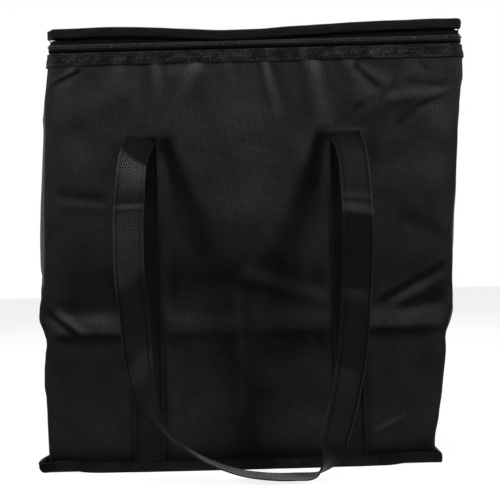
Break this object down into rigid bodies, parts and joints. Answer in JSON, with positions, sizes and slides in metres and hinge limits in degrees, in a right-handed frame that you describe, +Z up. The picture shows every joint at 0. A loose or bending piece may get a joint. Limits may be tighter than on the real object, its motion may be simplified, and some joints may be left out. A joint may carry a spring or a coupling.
{
  "type": "insulated picnic bag",
  "caption": "Black upright insulated picnic bag in embossed non-woven fabric, with a zipped padded lid, foil lining and flat strap handles hanging off the front and back.",
  "frame": {"origin": "centre of the flat underside, where the bag stands", "axes": "+Z up; -Y towards the front wall, whose handle hangs down its face; +X to the right along the front wall, towards the parked zip slider"},
  "size_m": [0.4218, 0.3774, 0.4167],
  "materials": {
    "shell_fabric": "black non-woven, embossed with a fine diamond of dots",
    "strap_fabric": "the same fabric folded in layers, with an edge stitch",
    "edge_binding": "rolled and sewn fabric edge",
    "zip_tape": "black woven tape",
    "zip_teeth": "nylon coil",
    "slider_metal": "black enamel over cast zinc",
    "foam": "white closed-cell foam",
    "foil_lining": "crinkled metallised film"
  },
  "bodies": {
    "bag_body": {"front_outer_panel": "shell_fabric", "front_foam": "foam", "front_lining": "foil_lining", "right_outer_gusset": "shell_fabric", "right_foam": "foam", "right_lining": "foil_lining", "back_outer_panel": "shell_fabric", "back_foam": "foam", "back_lining": "foil_lining", "left_outer_gusset": "shell_fabric", "left_foam": "foam", "left_lining": "foil_lining", "bottom_outer_panel": "shell_fabric", "bottom_foam": "foam", "bottom_lining": "foil_lining", "front_base_binding": "edge_binding", "right_base_binding": "edge_binding", "back_base_binding": "edge_binding", "left_base_binding": "edge_binding", "front_top_hem": "shell_fabric", "right_top_hem": "shell_fabric", "back_top_hem": "shell_fabric", "left_top_hem": "shell_fabric", "lower_zip_tape_left": "zip_tape", "lower_zip_tape_front": "zip_tape", "lower_zip_tape_right": "zip_tape", "lower_zip_coil": "zip_teeth", "hinge_tape": "zip_tape", "zip_end_stop_left": "zip_tape", "zip_end_stop_right": "zip_tape", "front_left_sewn_strap": "strap_fabric", "front_right_sewn_strap": "strap_fabric", "back_left_sewn_strap": "strap_fabric", "back_right_sewn_strap": "strap_fabric"},
    "lid": {"lid_outer_panel": "shell_fabric", "lid_foam": "foam", "lid_lining": "foil_lining", "lid_binding_front": "edge_binding", "lid_binding_right": "edge_binding", "lid_binding_back": "edge_binding", "lid_binding_left": "edge_binding", "upper_zip_tape_left": "zip_tape", "upper_zip_tape_front": "zip_tape", "upper_zip_tape_right": "zip_tape", "upper_zip_coil": "zip_teeth", "lid_hinge_tape": "zip_tape"},
    "front_handle": {"front_handle_loop": "strap_fabric"},
    "back_handle": {"back_handle_loop": "strap_fabric"},
    "slider": {"zip_slider": "slider_metal"},
    "pull_tab": {"zip_pull_tab": "slider_metal"}
  },
  "joints": [
    {"name": "lid_hinge", "type": "hinge", "parent": "bag_body", "child": "lid", "pos_m": [0.0216, 0.10605, 0.3985], "axis": [-1, 0, 0], "range_deg": [0, 105]},
    {"name": "front_handle_swing", "type": "hinge", "parent": "bag_body", "child": "front_handle", "pos_m": [0.0089, -0.11623, 0.3095], "axis": [-1, 0, 0], "range_deg": [0, 140]},
    {"name": "back_handle_swing", "type": "hinge", "parent": "bag_body", "child": "back_handle", "pos_m": [0.0089, 0.11623, 0.3095], "axis": [1, 0, 0], "range_deg": [0, 140]},
    {"name": "zip_slider_slide", "type": "slide", "parent": "bag_body", "child": "slider", "axis": [0, -1, 0], "range_m": [0, 0.171]},
    {"name": "pull_tab_hinge", "type": "hinge", "parent": "slider", "child": "pull_tab", "pos_m": [0.2194, 0.0855, 0.3985], "axis": [0, 0, 1], "range_deg": [0, 175]}
  ]
}
